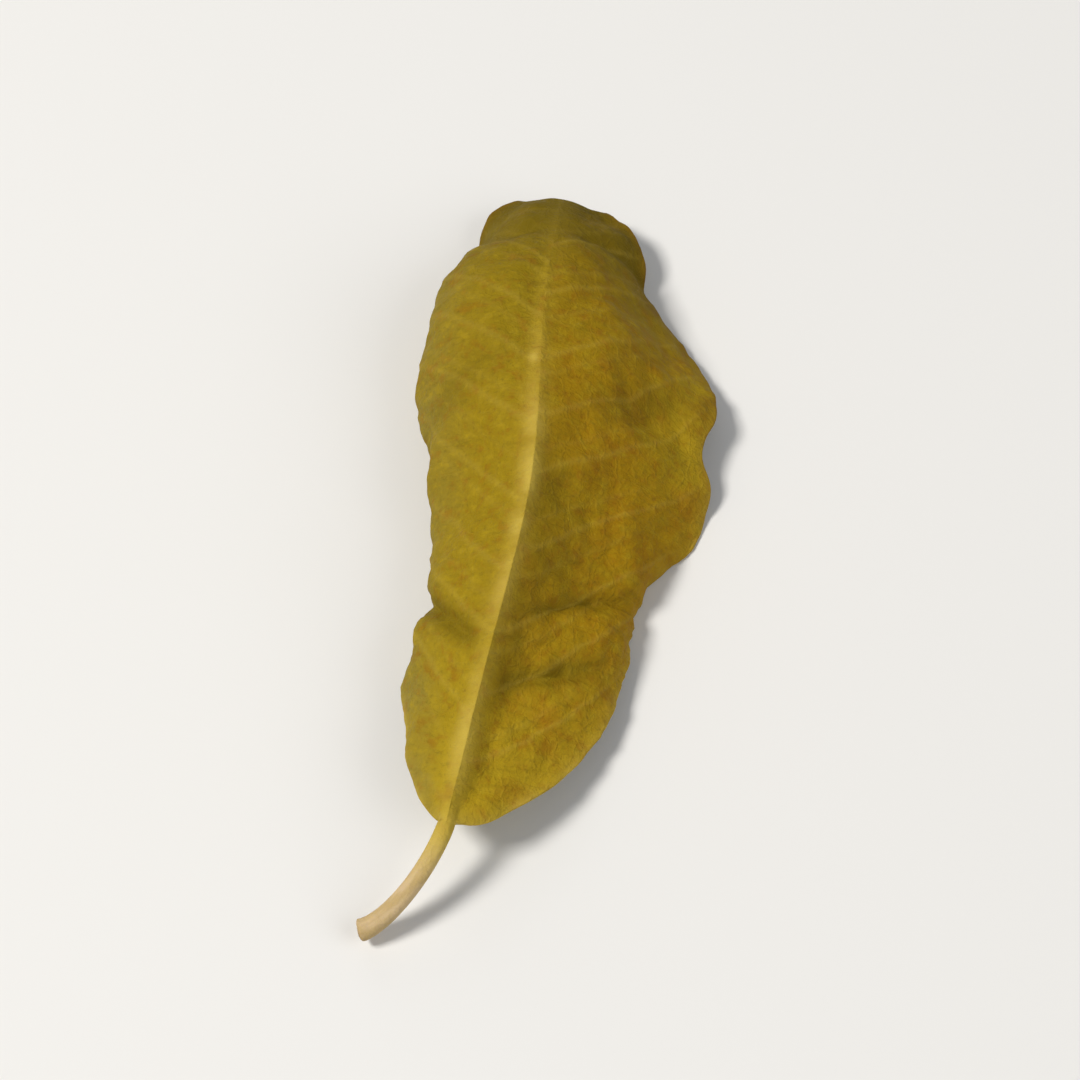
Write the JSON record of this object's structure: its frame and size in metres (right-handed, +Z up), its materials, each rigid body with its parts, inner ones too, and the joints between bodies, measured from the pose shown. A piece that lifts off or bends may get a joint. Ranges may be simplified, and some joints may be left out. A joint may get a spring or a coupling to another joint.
{
  "type": "dried moringa leaf",
  "caption": "Single dried moringa leaflet lying on its margins, with a low tented blade, one margin rolled under, and a short curved stalk.",
  "frame": {"origin": "centre of the bounding box, on the surface that the leaf lies on", "axes": "+Y from the stalk to the tip, +Z up, +X to the right of the midrib seen from above"},
  "size_m": [0.007, 0.0198, 0.0036],
  "materials": {
    "dried_leaf": "matt dried leaf, olive gold, with a paler midrib and stalk"
  },
  "bodies": {
    "root": {"leaf": "dried_leaf"}
  },
  "joints": []
}
